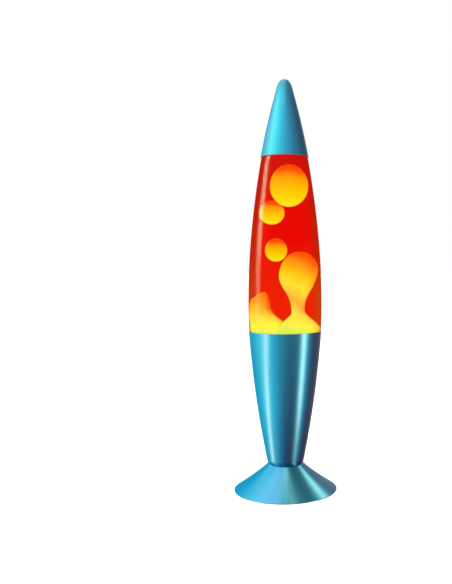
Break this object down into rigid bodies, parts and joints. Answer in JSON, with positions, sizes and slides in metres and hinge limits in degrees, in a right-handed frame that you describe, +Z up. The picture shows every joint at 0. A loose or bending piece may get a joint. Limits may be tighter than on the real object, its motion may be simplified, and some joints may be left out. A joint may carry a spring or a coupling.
{
  "type": "liquid motion lamp",
  "caption": "Table-top liquid motion lamp: a tapered glass bottle of red liquid and orange wax under a conical metal cap, on a waisted cup and flared foot, with a corded switch and plug.",
  "frame": {"origin": "centre of the felt pad's underside, on the table", "axes": "+Z up along the lamp's axis, -Y the front, +Y the side where the cord leaves"},
  "size_m": [0.103, 0.287, 0.414],
  "materials": {
    "blue_aluminium": "satin anodised blue",
    "clear_glass": "clear gloss",
    "red_liquid": "translucent dyed liquid",
    "orange_wax": "translucent wax lit from below",
    "plated_steel": "bright plated",
    "liner_plastic": "matt",
    "black_plastic": "matt moulded",
    "cord_vinyl": "semi-gloss flexible vinyl",
    "black_rubber": "matt",
    "dark_felt": "felt",
    "phenolic": "moulded phenolic",
    "brass": "bright"
  },
  "bodies": {
    "base": {"base_cup": "blue_aluminium", "base_foot": "blue_aluminium", "bottom_plate": "black_plastic", "felt_pad": "dark_felt", "cord_grommet": "black_rubber", "threaded_nipple": "plated_steel", "clamp_nut": "plated_steel", "lock_washer": "plated_steel", "lower_washer": "plated_steel", "upper_washer": "plated_steel", "socket_body": "phenolic", "socket_screw_shell": "brass", "socket_contact": "brass", "terminal_screw_line": "brass", "terminal_screw_neutral": "plated_steel", "cord_to_switch": "cord_vinyl", "cord_to_plug": "cord_vinyl", "cord_tie": "black_plastic", "switch_case_lower": "black_plastic", "switch_case_upper": "black_plastic", "rocker_pin": "plated_steel", "switch_contact_lamp": "brass", "switch_contact_mains": "brass", "case_screw_1": "plated_steel", "case_screw_2": "plated_steel", "plug_body": "cord_vinyl", "plug_blade_line": "brass", "plug_blade_neutral": "brass"},
    "globe": {"glass_bottle": "clear_glass", "crown_cap": "plated_steel", "crown_liner": "liner_plastic", "liquid": "red_liquid", "wax_pool": "orange_wax", "heat_coil": "plated_steel"},
    "cap": {"lamp_cap": "blue_aluminium"},
    "bulb": {"bulb_glass": "clear_glass", "bulb_stem": "clear_glass", "bulb_contact": "plated_steel", "bulb_insulator": "phenolic", "bulb_screw_shell": "plated_steel", "bulb_filament": "plated_steel"},
    "rocker": {"switch_rocker": "black_plastic"},
    "blob_upper": {"wax_blob_upper": "orange_wax"},
    "blob_middle": {"wax_blob_middle": "orange_wax"},
    "blob_lower": {"wax_blob_lower": "orange_wax"}
  },
  "joints": [
    {"name": "globe_lift", "type": "slide", "parent": "base", "child": "globe", "axis": [0, 0, 1], "range_m": [0, 0.08]},
    {"name": "cap_lift", "type": "slide", "parent": "globe", "child": "cap", "axis": [0, 0, 1], "range_m": [0, 0.08]},
    {"name": "bulb_unscrew", "type": "hinge", "parent": "base", "child": "bulb", "pos_m": [0, 0, 0.057], "axis": [0, 0, 1], "range_deg": [0, 1440]},
    {"name": "switch_off", "type": "hinge", "parent": "base", "child": "rocker", "pos_m": [0, 0.113, 0.0195], "axis": [1, 0, 0], "range_deg": [-14.8, 0]},
    {"name": "blob_upper_drift", "type": "slide", "parent": "globe", "child": "blob_upper", "axis": [0, 0, 1], "range_m": [0, 0.004], "deforming": ["liquid"]},
    {"name": "blob_middle_drift", "type": "slide", "parent": "globe", "child": "blob_middle", "axis": [0, 0, 1], "range_m": [-0.03, 0], "deforming": ["liquid"]},
    {"name": "blob_lower_drift", "type": "slide", "parent": "globe", "child": "blob_lower", "axis": [0, 0, 1], "range_m": [0, 0.025], "deforming": ["liquid"]}
  ]
}
